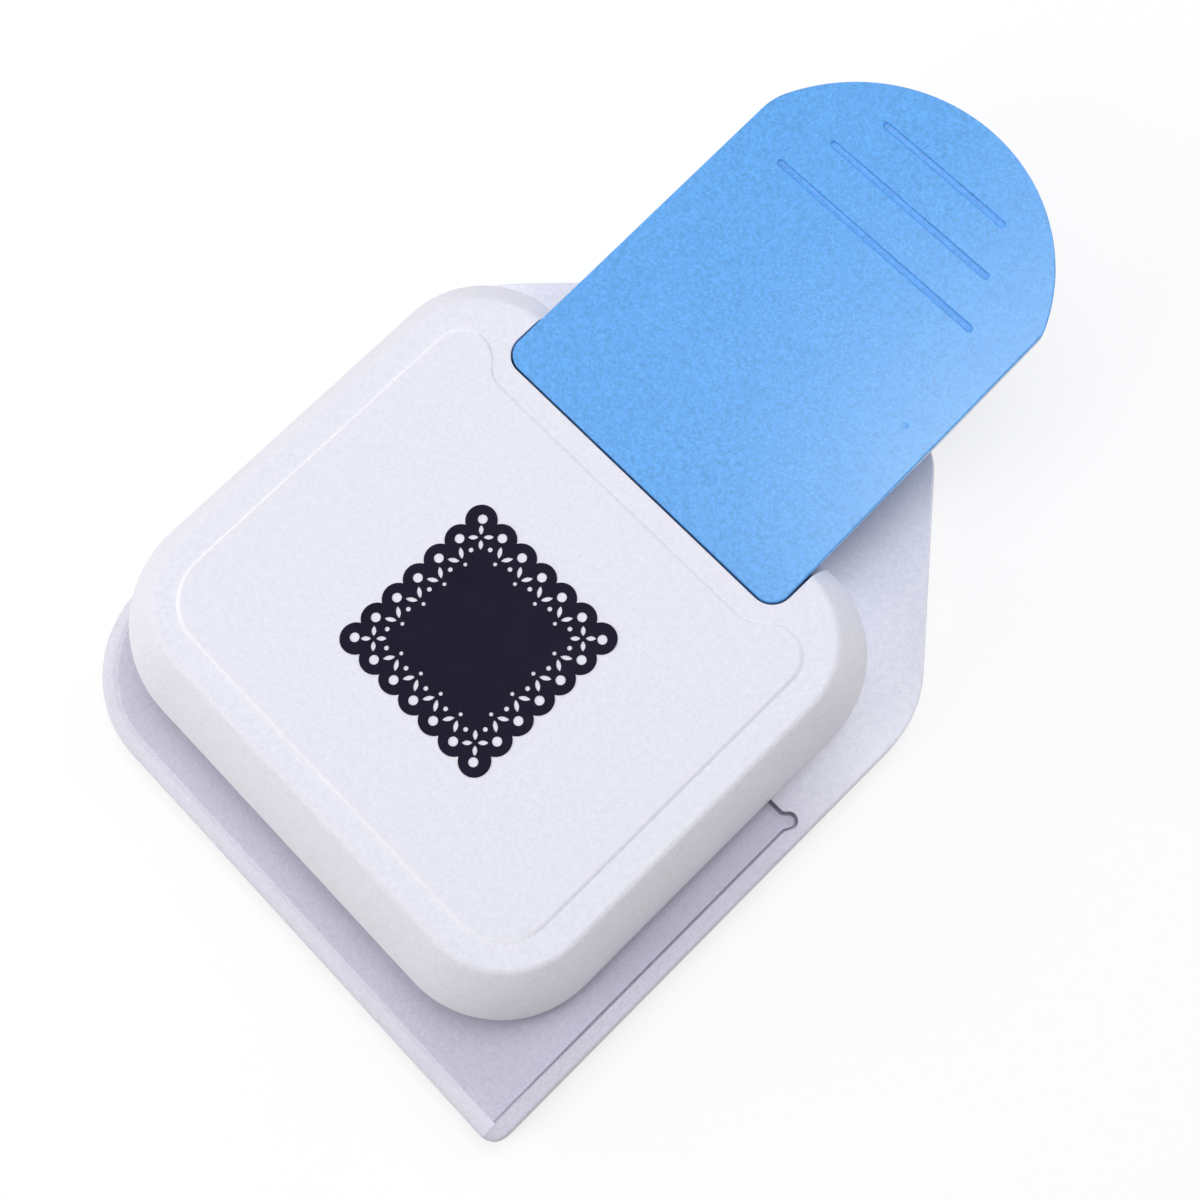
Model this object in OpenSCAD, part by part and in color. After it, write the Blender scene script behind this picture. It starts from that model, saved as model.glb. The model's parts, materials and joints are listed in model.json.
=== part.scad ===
// Lever border punch for paper, with a side fence and a corner stop.
// Front is -Y (the paper goes in), the lever points to +Y, the fence is on +X.
// Plan sizes count from the lever's centre line and from a cross line through the cover.
// The origin lies on the table, under the middle of the whole punch.

/* [Base] */
// Left edge outside the cover's shoulder
side_left = 6.9; // [6.4:0.1:20]
// Right edge outside the cover's shoulder
side_right = 12.4; // [11.4:0.2:24]
// Cross line to the front edge
base_front = 72.4; // [69:0.2:86]
// Cross line to the back edge
base_back = 98; // [90:0.5:108]
// Height of the raised level over the table
base_top = 11; // [10.4:0.1:14]
// Height of the feet under the base
foot_proud = 1.2; // [0.8:0.1:1.8]
// Wall of the base
base_wall = 2.4; // [1.8:0.1:3]
// Thickness of the floors of the base
base_skin = 2.4; // [1.6:0.1:2.8]
// Length of the slanted back corners, along the sides
slant_len = 46.4; // [38:0.2:52]
// Width of the left slant, along the back
slant_left = 45.6; // [38:0.2:50]
// Width of the right slant, along the back
slant_right = 39; // [34:0.2:50]
// Rounding of the slanted back corners
chamfer_r = 26; // [10:1:30]
// Rounding of the corners at the back edge
back_r = 16; // [8:1:20]
// Rounding of the front left corner
front_left_r = 26.5; // [10:0.5:28]
// Rounding of the front right corner
front_right_r = 4; // [2.6:0.2:8]
// Width of the side fence
fence_w = 3.4; // [2.4:0.1:4.5]
// Cross line to the paper stop
stop_back = 16.9; // [14:0.1:18]
// Radius of the relief in the stop's corner
relief_r = 1.9; // [1.2:0.1:2.6]
// Diameter of a rubber foot
foot_d = 11; // [8:0.5:14]
// Depth of a foot's seat
foot_seat = 1.4; // [1:0.1:1.8]

/* [Housing] */
// Width of the cover at its shoulders
housing_w = 120; // [108:0.5:132]
// Cross line to the cover's front shoulder
housing_front = 54.3; // [53.4:0.1:57]
// Cross line to the cover's back shoulder
housing_back = 54.1; // [53:0.1:58]
// Height of the cover
housing_h = 27; // [26.6:0.1:34]
// Lean of the front wall, from shoulder to foot
lean_front = 6.4; // [3:0.1:7]
// Lean of the back wall
lean_back = 4; // [2:0.1:6]
// Lean of the left wall
lean_left = 5.2; // [2:0.1:5.4]
// Lean of the right wall
lean_right = 2.4; // [1:0.1:5]
// Rounding of the upright corners
corner_r = 22; // [18:0.5:23]
// Flat top inside the cover's shoulders
top_in = 3.4; // [2:0.1:4]
// Fullness of the walls' curve, 1 being straight
wall_bulge = 3; // [1.6:0.1:4]
// Wall of the cover
housing_wall = 2.4; // [1.8:0.1:2.8]
// Thickness of the roof
roof_t = 2.6; // [2.2:0.1:3]
// Height of the panel's face over the roof
panel_rise = 0.4; // [0.2:0.1:0.8]
// Thickness of the panel
panel_t = 1.4; // [1.1:0.1:1.6]
// Side margin of the panel
panel_side = 6.1; // [5:0.1:10]
// Front margin of the panel
panel_front = 5.7; // [4.5:0.1:8]
// Back margin of the panel, before the lever
panel_back = 4.9; // [3.6:0.1:6]
// Rounding of the panel's front corners
panel_r = 14; // [8:0.5:18]
// Rounding of the panel's ears
panel_ear_r = 6.5; // [3:0.5:7]
// Run of the sweep into an ear
panel_sweep = 13; // [11:0.5:16]
// Width of the printed label
label_w = 40.8; // [30:0.2:44]
// Thickness of the printed label
label_t = 0.2; // [0.1:0.05:0.4]

/* [Lever] */
// Width of the handle at its front
handle_w = 76.8; // [71:0.2:77.6]
// Narrowing of the handle, on each side
handle_taper = 1.1; // [0:0.1:3]
// Length of the handle
handle_len = 102.6; // [96:0.2:112]
// Cross line to the handle's front
handle_front = 40.2; // [39.4:0.1:42]
// Radius of the handle's round end, over its half width there
end_over = 3.4; // [0.4:0.1:6]
// Rounding of the handle's front corners
handle_r = 4.2; // [3:0.2:6]
// Thickness of the handle's face
handle_t = 3; // [2.4:0.1:3.6]
// Depth of the handle's rim
rim_h = 9; // [7.6:0.1:9.6]
// Thickness of the handle's rim
rim_t = 2.2; // [1.6:0.1:2.8]
// Slope of the handle's face
lever_tilt = 4.5; // [3:0.1:5]
// Gap round the handle in the cover
notch_gap = 0.6; // [0.5:0.05:1]
// Handle front to the first groove
groove_first = 68.5; // [60:0.5:70]
// Spacing of the grooves
groove_pitch = 10.3; // [8:0.1:11]
// Length of the first groove
groove_len = 54.5; // [48:0.5:58]
// Width of a groove
groove_w = 1.6; // [1:0.1:2.2]
// Depth of a groove
groove_d = 0.8; // [0.4:0.1:1.2]
// Inner width of the lever's fork
fork_w = 24; // [23.4:0.2:25]
// Thickness of the fork's arms
arm_t = 3; // [2.4:0.1:3.4]
// Height of the fork's arms
arm_h = 7; // [6.4:0.1:7.2]
// Thickness of the fork's web
web_t = 2; // [1.6:0.1:2.2]
// Handle front to the far end of the fork
fork_reach = 52; // [50:0.5:60]
// Pivot behind the front, from the cross line
pivot_front = 42; // [41.4:0.1:43]
// Distance from the pivot to the presser
press_arm = 44; // [42:0.2:46]
// Diameter of the pivot pin
pivot_d = 6; // [5:0.1:6.2]
// Diameter of the presser pin
presser_d = 7; // [6:0.1:7.6]

/* [Punch] */
// Height of the paper slot
slot_h = 1.6; // [1.2:0.1:2]
// Thickness of the die
die_t = 4; // [3.4:0.1:4.2]
// Thickness of the stripper plate
stripper_t = 2.3; // [2:0.1:2.6]
// Cutter tips over the slot at rest
tip_cover = 1.2; // [0.8:0.1:1.6]
// Cutter tips in the die when pressed
die_entry = 1.2; // [0.8:0.1:1.6]
// Thickness of the cutter retainer
retainer_t = 2.2; // [1.8:0.1:2.4]
// Thickness of the punch holder
holder_t = 4; // [3.8:0.1:4.4]
// Thickness of the wear plate
wear_t = 1.2; // [0.8:0.1:1.4]
// Cutter rows from the paper's edges
row_inset = 20.4; // [19.6:0.2:22]
// Spacing of the cutters
cutter_pitch = 13; // [12.4:0.1:13.2]
// Radius of a side cutter's petals
petal_r = 1.7; // [1.2:0.1:1.8]
// Diameter of the eyelet pins
eyelet_d = 2.2; // [1.4:0.1:2.6]
// Guide posts inside the cutter row
post_inset = 14.6; // [14.2:0.1:15.2]
// Cross line to the back posts
post_back = 24; // [22:0.2:25]
// Cross line to the front posts
post_front = 38; // [36:0.2:38.4]
// Diameter of the guide posts
post_d = 6; // [5:0.1:6.2]
// Wire of the return springs
spring_wire = 0.9; // [0.7:0.05:1]
// Turns of the return springs
spring_turns = 4; // [3:0.5:4.5]

/* [Fits] */
// Radial clearance of running fits
run_fit = 0.05; // [0.03:0.01:0.08]
// Radial clearance of seated pieces
seat_fit = 0.03; // [0.02:0.01:0.05]
// Clearance round plates in pockets
plate_gap = 0.3; // [0.2:0.05:0.5]

/* [Hidden] */
$fn = 64;
cut = 0.5;

// Heights, from the table up
z_under = foot_proud;
z_floor = base_top - slot_h;
z_die = z_floor - die_t;
z_strip = base_top + stripper_t;
stroke = slot_h + tip_cover + die_entry;
end_gap = 0.5;
tip_gap = 0.3;
z_tip = base_top + tip_cover;
z_ret = z_strip + stroke + end_gap;
z_hold = z_ret + retainer_t;
z_hold_top = z_hold + holder_t;
z_wear_top = z_hold_top + wear_t;
press_gap = 0.1;
z_pivot = z_wear_top + press_gap + presser_d / 2;
z_arm = z_pivot - arm_h / 2;
z_arm_top = z_pivot + arm_h / 2;
z_top = base_top + housing_h;
z_roof = z_top - roof_t;
press_angle = stroke / press_arm * 180 / PI;

// Middle of the whole punch in plan
half_w = housing_w / 2;
base_left = half_w + side_left;
base_right = half_w + side_right;
base_mid = (base_right - base_left) / 2;
tip_back = handle_front + handle_len * cos(lever_tilt) + rim_h * sin(lever_tilt);
plan_mid = [base_mid, (tip_back - base_front) / 2, 0];

// Places in plan
fence_x = base_right - fence_w;
row_x = fence_x - row_inset;
post_x = row_x - post_inset;
row_y = stop_back - row_inset;
side_steps = [1, 2, 3];
pivot_y = -pivot_front;
press_y = pivot_y + press_arm;
posts = [for (x = [-post_x, post_x], y = [-post_front, post_back]) [x, y]];
fork_out = fork_w / 2 + arm_t;
cutter_spots = concat([for (i = side_steps) [row_x - i * cutter_pitch, row_y]],
    [for (i = side_steps) [row_x, row_y - i * cutter_pitch]]);
eyelet_spots = concat([for (i = side_steps) [row_x - (i - 0.5) * cutter_pitch, row_y]],
    [for (i = side_steps) [row_x, row_y - (i - 0.5) * cutter_pitch]]);
row_end = row_x - 3 * cutter_pitch;
column_end = row_y - 3 * cutter_pitch;

// Screws, seats and small parts
boss_d = 8;
boss_inset = 8.6;
boss_x = half_w - housing_wall - boss_inset;
boss_back = 10.6;
boss_y = [post_back, housing_back - housing_wall - boss_back];
boss_spots = [for (x = [-boss_x, boss_x], y = boss_y) [x, y]];
screw_d = 3;
screw_head_d = 5.6;
screw_head_h = 2.2;
cover_bite = 8;
cover_head_z = z_under + 1.8;
spacer_margin = 3.6;
spacer_back = housing_back - housing_wall - spacer_margin;
spacer_x = boss_x - boss_d / 2 - 3;
die_screw_d = 4;
die_screw_head = 7;
die_screw_head_h = 2.4;
die_screw_edge = 6;
die_screw_apart = (spacer_x - die_screw_edge) / 1.5;
die_screw_shift = 7;
die_screw_spots = [for (i = [-1.5:1:1.5])
    [i * die_screw_apart, (stop_back + spacer_back) / 2 + die_screw_shift]];
bracket_t = 2;
ear_t = 3;
ear_gap = 2;
ear_in = fork_out + ear_gap;
ear_out = ear_in + ear_t;
ear_r = 5;
bracket_depth = 16;
bracket_screw_at = [8, 4.5];
bracket_screw_spots = [for (x = [-1, 1], y = [-1, 1])
    [x * bracket_screw_at[0], pivot_y + y * bracket_screw_at[1]]];
bush_wall = 1;
eye_r = pivot_d / 2 + bush_wall + 2;
clip_t = 0.8;
clip_d = pivot_d + 4;
clip_groove = 0.6;
pin_over = clip_t + 1.2;
presser_end_d = 4;
lever_screw_head_h = 1.8;
lever_screw_x = 7;
lever_screw_y = [15, fork_reach - 5];
lever_screw_spots = [for (x = [-lever_screw_x, lever_screw_x], y = lever_screw_y) [x, y]];
end_r = handle_w / 2 - handle_taper + end_over;
handle_boss_d = 7;
handle_boss_h = 1.6;
web_top = -handle_t - handle_boss_h;
web_front = 7;
arm_low = web_top - web_t - lever_screw_head_h;
arm_bend = 6;
tower_d = post_d + 8;
tower_h = 6;
bush_r = post_d / 2 + 1.5;
bush_flange_r = bush_r + 0.7;
bush_flange_t = 1;
spring_pocket_r = bush_flange_r + 0.2;
spring_pocket_d = 2.4;
post_top = z_hold_top + tower_h + 2.6;
spring_r = post_d / 2 + 1.1;
z_spring_top = z_hold + spring_pocket_d;
spring_seat = 0.05;
head_t = 0.8;
petal_pitch = 1.9;
cutter_head_r = petal_pitch + petal_r + 0.6;
eyelet_head_r = eyelet_d / 2 + 0.5;
corner_petal_pitch = petal_pitch + 0.5;
corner_head_r = corner_petal_pitch + petal_r + 0.5;
retainer_edge = 6;
screw_offset = 5.7;
screw_edge = 8.4;
punch_screw_spots = concat(
    [for (i = [1, 2]) [row_x - (i + 0.5) * cutter_pitch, row_y + screw_offset]],
    [for (i = [0, 1]) [row_x - screw_offset, row_y - (i + 0.5) * cutter_pitch]]);
wear_w = fork_w - 2;
wear_len = 14;
holder_back = press_y + wear_len / 2 + 1;
holder_front = pivot_y + bracket_depth / 2 + 1.5;
die_edge = 7;
rib_len = 20;
rib_in_x = half_w - housing_wall - 1.8;
rib_out_x = half_w + max(lean_left, lean_right);
sweep_steps = 12;
ring_steps = 12;
wall_rows = 8;
row_growth = 1.6;
label_x = 1.4;
label_y = -4.6;
foot_left = 16.5;
foot_right = 12;
foot_half = 20;
foot_back = 11.5;
foot_spots = [[-base_left + foot_left, -base_front + foot_left],
    [base_right - foot_right, -base_front + foot_right],
    [base_mid - foot_half, base_back - foot_back], [base_mid + foot_half, base_back - foot_back]];

function unit(v) = v / norm(v);
function half_angle(p, a, b) = acos(unit(a - p) * unit(b - p)) / 2;
function bisector(p, a, b) = unit(unit(a - p) + unit(b - p));
function corner_of(pts, i) = [pts[i], pts[(i + len(pts) - 1) % len(pts)], pts[(i + 1) % len(pts)]];
function moved_in(pts, d) = [for (i = [0:len(pts) - 1]) let (c = corner_of(pts, i))
    c[0] + bisector(c[0], c[1], c[2]) * d / sin(half_angle(c[0], c[1], c[2]))];
// Share of the walls' spread that is reached at a share of the cover's height, from the top down
function spread(t) = t < 1 ? 1 - (1 - t) ^ wall_bulge : 1;
// Points round the cover at a share of its height, moved in by a margin
function cover_ring(t, margin) = let (k = spread(t), r = corner_r - top_in * (1 - k) - margin,
        x = [-half_w - k * lean_left + corner_r, half_w + k * lean_right - corner_r],
        y = [-housing_front - k * lean_front + corner_r, housing_back + k * lean_back - corner_r])
    [for (q = [0:3], i = [0:ring_steps]) let (a = 90 * (q + i / ring_steps))
        [x[q == 0 || q == 3 ? 1 : 0] + r * cos(a), y[q < 2 ? 1 : 0] + r * sin(a), z_top - t * housing_h]];

// Convex polygon with a radius at each corner
module rounded_polygon(pts, radii) {
    corners = [for (i = [0:len(pts) - 1]) corner_of(pts, i)];
    polygon([for (i = [0:len(pts) - 1])
        let (c = corners[i], t = radii[i] / tan(half_angle(c[0], c[1], c[2])))
            each [c[0] + unit(c[1] - c[0]) * t, c[0] + unit(c[2] - c[0]) * t]]);
    for (i = [0:len(pts) - 1]) let (c = corners[i])
        translate(c[0] + bisector(c[0], c[1], c[2]) * radii[i] / sin(half_angle(c[0], c[1], c[2])))
            circle(radii[i]);
}

module placed() {
    translate(-plan_mid) children();
}

// Box between two heights, given by its corners in plan
module slab(x0, x1, y0, y1, z0, z1) {
    translate([x0, y0, z0]) cube([x1 - x0, y1 - y0, z1 - z0]);
}

module rod(spot, d, z0, z1) {
    translate([spot[0], spot[1], z0]) cylinder(d = d, h = z1 - z0);
}

// Screw standing on its tip, the head above or below the shank
module screw(d, head_d, head_h, length, up = true) {
    cylinder(d = d, h = length);
    translate([0, 0, up ? length : -head_h]) difference() {
        cylinder(d = head_d, h = head_h);
        translate([0, 0, up ? head_h / 2 : -cut]) cylinder(d = head_d / 2, h = head_h / 2 + cut, $fn = 6);
    }
}

// Ring of round petals about a centre, used for cutters and their holes
module petals(n, r, pitch, grow = 0) {
    for (i = [0:n - 1]) rotate(360 / n * i) translate([0, pitch]) circle(r + grow, $fn = 40);
    circle(pitch - r / 2 + grow, $fn = 40);
}

module side_petals(grow = 0) {
    petals(3, petal_r, petal_pitch, grow);
}

module corner_petals(grow = 0) {
    petals(5, petal_r, corner_petal_pitch, grow);
}

// Holes for the whole cutter set, between two heights
module cutter_holes(grow, z0, z1) {
    translate([0, 0, z0]) linear_extrude(z1 - z0) {
        translate([row_x, row_y]) corner_petals(grow);
        for (s = cutter_spots) translate(s) side_petals(grow);
        for (s = eyelet_spots) translate(s) circle(eyelet_d / 2 + grow, $fn = 40);
    }
}

// L-shaped strip along both cutter rows
module row_strip(edge, inner) {
    translate([row_end, row_y - edge]) square([row_x - row_end, edge + inner]);
    translate([row_x - inner, column_end]) square([inner + edge, row_y - column_end + inner]);
    translate([row_x, row_y]) square([edge, inner]);
    translate([row_x, row_y - edge]) square(edge);
    for (s = [[row_end, row_y], [row_x, column_end]]) translate(s) circle(edge);
}

// Outline of the base, moved in by a margin
module base_outline(margin = 0) {
    pts = [[-base_left, -base_front], [base_right, -base_front],
        [base_right, base_back - slant_len], [base_right - slant_right, base_back],
        [-base_left + slant_left, base_back], [-base_left, base_back - slant_len]];
    radii = [front_left_r, front_right_r, chamfer_r, back_r, back_r, chamfer_r];
    rounded_polygon(moved_in(pts, margin), [for (r = radii) max(r - margin, 0.2)]);
}

module die_outline(grow = 0) {
    translate([row_end - die_edge - grow, column_end - die_edge - grow])
        square([row_x - row_end + 2 * die_edge + 2 * grow, stop_back - column_end + die_edge + 2 * grow]);
    translate([-spacer_x - grow, row_y - grow])
        square([2 * (spacer_x + grow), spacer_back - row_y + 2 * grow]);
}

module base() {
    color("lavender") difference() {
        translate([0, 0, z_under]) linear_extrude(base_top - z_under) base_outline();
        // Sunk floor for the paper, with the corner relief
        slab(-base_left - cut, fence_x, -base_front - cut, stop_back, z_floor, base_top + cut);
        rod([fence_x - relief_r / 2, stop_back - relief_r / 4], 2 * relief_r, z_floor, base_top + cut);
        // Pocket of the die and the spacer, and the outlet for the chips
        translate([0, 0, z_die]) linear_extrude(base_top) die_outline(plate_gap);
        translate([0, 0, z_under - cut]) linear_extrude(base_top) row_strip(retainer_edge, retainer_edge);
        // Hollow underside round the die's tub, the screw columns and the feet
        translate([0, 0, z_under - cut]) linear_extrude(z_floor - base_skin - z_under + cut) difference() {
            base_outline(base_wall);
            die_outline(plate_gap + base_wall);
            for (s = boss_spots) translate(s) circle(d = boss_d + 2);
            for (s = foot_spots) translate(s) circle(d = foot_d + 2 * base_wall);
        }
        translate([0, 0, z_under - cut]) linear_extrude(z_die - base_skin - z_under + cut)
            die_outline(plate_gap + base_wall + seat_fit);
        for (s = foot_spots) rod(s, foot_d + 2 * seat_fit, z_under - cut, z_under + foot_seat);
        for (s = boss_spots) {
            rod(s, screw_d + 2 * plate_gap, z_under - cut, base_top + cut);
            rod(s, screw_head_d + 2 * plate_gap, z_under - cut, cover_head_z + screw_head_h);
        }
    }
}

module rubber_feet() {
    color("dimgray") for (s = foot_spots) rod(s, foot_d, 0, z_under + foot_seat);
}

// Closed form through rings of the cover, from the top down
module cover_loft(shares, margin = 0) {
    rings = [for (t = shares) cover_ring(t, margin)];
    n = len(rings[0]);
    last = len(rings) - 1;
    polyhedron([for (ring = rings) each ring], concat(
        [[for (i = [n - 1:-1:0]) i], [for (i = [0:n - 1]) last * n + i]],
        [for (j = [0:last - 1], i = [0:n - 1]) let (a = j * n + i, b = j * n + (i + 1) % n)
            each [[a, b, b + n], [a, b + n, a + n]]]));
}

module cover_form() {
    cover_loft([for (i = [0:wall_rows]) (i / wall_rows) ^ row_growth]);
}

module cover_cavity() {
    roof = roof_t / housing_h;
    cover_loft(concat([for (i = [0:wall_rows]) roof + (1 - roof) * (i / wall_rows) ^ row_growth],
        [1 + cut / housing_h]), housing_wall);
}

// Panel outline with an ear beside each front corner of the lever
module panel_outline(grow = 0) {
    side = half_w - top_in - panel_side + grow;
    front = -housing_front + top_in + panel_front - grow;
    back = handle_front - notch_gap - panel_back + grow;
    ear_back = handle_front - notch_gap + grow;
    ear_r = panel_ear_r + grow;
    ear_x = side - ear_r;
    sweep_r = ((panel_sweep / 2) ^ 2 + (panel_back / 2) ^ 2) / panel_back;
    function arc(c, r, from) = [for (i = [0:sweep_steps])
        let (a = from + 90 * i / sweep_steps) c + r * [cos(a), sin(a)]];
    function bow(u) = sweep_r - sqrt(sweep_r ^ 2 - u ^ 2);
    function sweep_at(u) = u < panel_sweep / 2 ? bow(u) : panel_back - bow(panel_sweep - u);
    half = concat(arc([side - panel_r, front + panel_r], panel_r, -90),
        arc([ear_x, ear_back - ear_r], ear_r, 0),
        [for (i = [1:sweep_steps]) let (u = panel_sweep * i / sweep_steps)
            [ear_x - u, back + sweep_at(panel_sweep - u)]]);
    polygon(concat(half, [for (i = [len(half) - 1:-1:0]) [-half[i][0], half[i][1]]]));
}

module notch_outline() {
    w = handle_w / 2 + notch_gap;
    front = handle_front - notch_gap;
    back = housing_back + corner_r;
    rounded_polygon([[-w, front], [w, front], [w, back], [-w, back]],
        [handle_r + notch_gap, handle_r + notch_gap, cut, cut]);
}

module housing() {
    notch_drop = (housing_back - pivot_y) * tan(press_angle) + rim_h;
    color("whitesmoke") difference() {
        union() {
            difference() {
                cover_form();
                // The ribs that rest on the stripper plate are left standing in the cavity
                difference() {
                    cover_cavity();
                    for (x = [-rib_out_x, rib_in_x])
                        slab(x, x + rib_out_x - rib_in_x, -rib_len, 0, z_strip, z_top);
                }
            }
            for (s = boss_spots) rod(s, boss_d, base_top, z_roof + cut / 2);
        }
        translate([0, 0, z_top - panel_t + panel_rise]) linear_extrude(panel_t + cut)
            panel_outline(seat_fit);
        translate([0, 0, z_top - notch_drop - 1]) linear_extrude(notch_drop + 2) notch_outline();
        for (s = boss_spots) rod(s, screw_d + 2 * seat_fit, base_top - cut, base_top + cover_bite + 1);
    }
}

module housing_screws() {
    length = base_top + cover_bite - cover_head_z - screw_head_h;
    color("silver") for (s = boss_spots) translate([s[0], s[1], cover_head_z + screw_head_h])
        screw(screw_d, screw_head_d, screw_head_h, length, up = false);
}

module top_panel() {
    color("white") translate([0, 0, z_top - panel_t + panel_rise]) linear_extrude(panel_t) panel_outline();
}

// Square label with a scalloped edge
module top_label() {
    scallops = 7;
    lobe = 0.56 * label_w / scallops;
    reach = label_w / 2 - lobe;
    pitch = 2 * reach / (scallops - 1);
    color("midnightblue") translate([label_x, label_y, z_top + panel_rise]) linear_extrude(label_t) {
        square(2 * reach, center = true);
        for (a = [0:90:270], i = [0:scallops - 2])
            rotate(a) translate([-reach + i * pitch, reach]) circle(lobe, $fn = 32);
    }
}

module die_plate() {
    color("slategray") difference() {
        translate([0, 0, z_die]) linear_extrude(die_t) die_outline();
        cutter_holes(run_fit, z_die - cut, z_floor + cut);
        for (s = die_screw_spots) rod(s, die_screw_d + 2 * seat_fit, z_die - cut, z_floor + cut);
    }
}

module plate_spacer() {
    color("silver") difference() {
        slab(-spacer_x, spacer_x, stop_back + plate_gap, spacer_back, z_floor, base_top);
        for (s = die_screw_spots) rod(s, die_screw_d + 2 * seat_fit, z_floor - cut, base_top + cut);
    }
}

module stripper_outline() {
    margin = housing_wall + 2 * plate_gap;
    w = half_w - margin;
    front = -housing_front + margin;
    r = corner_r - margin;
    back = housing_back - margin;
    rounded_polygon([[-w, front], [w, front], [w, back], [-w, back]], [r, r, r, r]);
}

module stripper_plate() {
    color("lightsteelblue") difference() {
        translate([0, 0, base_top]) linear_extrude(stripper_t) stripper_outline();
        cutter_holes(run_fit, base_top - cut, z_strip + cut);
        for (s = die_screw_spots) rod(s, die_screw_d + 2 * seat_fit, base_top - cut, z_strip + cut);
        for (s = boss_spots) rod(s, boss_d + 2 * plate_gap, base_top - cut, z_strip + cut);
        for (s = posts) rod(s, post_d + 2 * seat_fit, base_top - cut, z_strip + cut);
        for (s = bracket_screw_spots) rod(s, screw_d + 2 * seat_fit, base_top - cut, z_strip + cut);
    }
}

module die_screws() {
    color("gainsboro") for (s = die_screw_spots) translate([s[0], s[1], z_die + tip_gap])
        screw(die_screw_d, die_screw_head, die_screw_head_h, z_strip - z_die - tip_gap);
}

module guide_posts() {
    color("silver") for (s = posts) rod(s, post_d, base_top + tip_gap, post_top);
}

// One unbroken coil, swept ring by ring
module coil(radius, wire, turns, height) {
    steps = ceil(turns * 8);
    sides = 6;
    rise = height - wire;
    last = steps * sides;
    function turn(i) = 360 * turns * i / steps;
    function mid(i) = [radius * cos(turn(i)), radius * sin(turn(i)), wire / 2 + rise * i / steps];
    function ring(i) = let (a = turn(i), n = [cos(a), sin(a), 0],
        t = unit([-sin(a), cos(a), rise / (2 * PI * radius * turns)]))
        [for (k = [0:sides - 1])
            mid(i) + wire / 2 * (cos(360 / sides * k) * n + sin(360 / sides * k) * cross(n, t))];
    points = [for (i = [0:steps]) each ring(i)];
    skin = [for (i = [0:steps - 1], k = [0:sides - 1])
        let (p = i * sides, q = p + sides, j = (k + 1) % sides)
            each [[p + k, q + k, q + j], [p + k, q + j, p + j]]];
    caps = [for (k = [1:sides - 2]) each [[0, k, k + 1], [last, last + k + 1, last + k]]];
    polyhedron(points, concat(skin, caps));
    gaps = [for (i = [0:steps], j = [i + 5:steps]) norm(mid(i) - mid(j)) - wire];
    echo(least_coil_gap = min(gaps));
}

module return_springs() {
    color("gray") for (s = posts) translate([s[0], s[1], z_strip + spring_seat])
        coil(spring_r, spring_wire, spring_turns, z_spring_top - z_strip - 2 * spring_seat);
}

module pivot_bracket() {
    color("darkgray") difference() {
        union() {
            slab(-ear_out, ear_out, pivot_y - bracket_depth / 2, pivot_y + bracket_depth / 2,
                z_strip, z_strip + bracket_t);
            for (x = [-ear_out, ear_in]) {
                slab(x, x + ear_t, pivot_y - ear_r, pivot_y + ear_r, z_strip, z_pivot);
                translate([x, pivot_y, z_pivot]) rotate([0, 90, 0]) cylinder(r = ear_r, h = ear_t);
            }
        }
        translate([-ear_out - cut, pivot_y, z_pivot]) rotate([0, 90, 0])
            cylinder(d = pivot_d + 2 * seat_fit, h = 2 * ear_out + 2 * cut);
        for (s = bracket_screw_spots)
            rod(s, screw_d + 2 * seat_fit, z_strip - cut, z_strip + bracket_t + cut);
    }
}

module bracket_screws() {
    color("gainsboro") for (s = bracket_screw_spots) translate([s[0], s[1], base_top + tip_gap])
        screw(screw_d, screw_head_d, screw_head_h, stripper_t + bracket_t - tip_gap);
}

module pivot_pin() {
    half = ear_out + pin_over;
    color("silver") translate([0, pivot_y, z_pivot]) rotate([0, 90, 0]) difference() {
        translate([0, 0, -half]) cylinder(d = pivot_d, h = 2 * half);
        for (m = [0, 1]) mirror([0, 0, m]) translate([0, 0, ear_out + run_fit]) difference() {
            cylinder(d = pivot_d + 1, h = clip_t + 2 * seat_fit);
            cylinder(r = pivot_d / 2 - clip_groove, h = 3 * clip_t, center = true);
        }
    }
}

module pivot_clips() {
    color("dimgray") translate([0, pivot_y, z_pivot]) rotate([0, 90, 0])
        for (m = [0, 1]) mirror([0, 0, m]) translate([0, 0, ear_out + run_fit + seat_fit]) difference() {
            cylinder(d = clip_d, h = clip_t);
            translate([0, 0, -cut]) cylinder(r = pivot_d / 2 - clip_groove + seat_fit, h = clip_t + 2 * cut);
            translate([-clip_d, -pivot_d / 4, -cut]) cube([clip_d, pivot_d / 2, clip_t + 2 * cut]);
        }
}

// Handle outline in the handle's own plane, from its front edge on
module handle_outline(margin = 0) {
    w = handle_w / 2 - margin;
    w_end = w - handle_taper;
    r = end_r - margin;
    y_arc = handle_len - end_r;
    front_r = max(handle_r - margin, 0.4);
    intersection() {
        rounded_polygon([[-w, margin], [w, margin], [w_end, handle_len], [-w_end, handle_len]],
            [front_r, front_r, cut, cut]);
        union() {
            translate([0, y_arc]) circle(r, $fn = 128);
            translate([-r, 0]) square([2 * r, y_arc]);
        }
    }
}

module on_handle() {
    translate([0, handle_front, z_top]) rotate([lever_tilt, 0, 0]) children();
}

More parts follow.
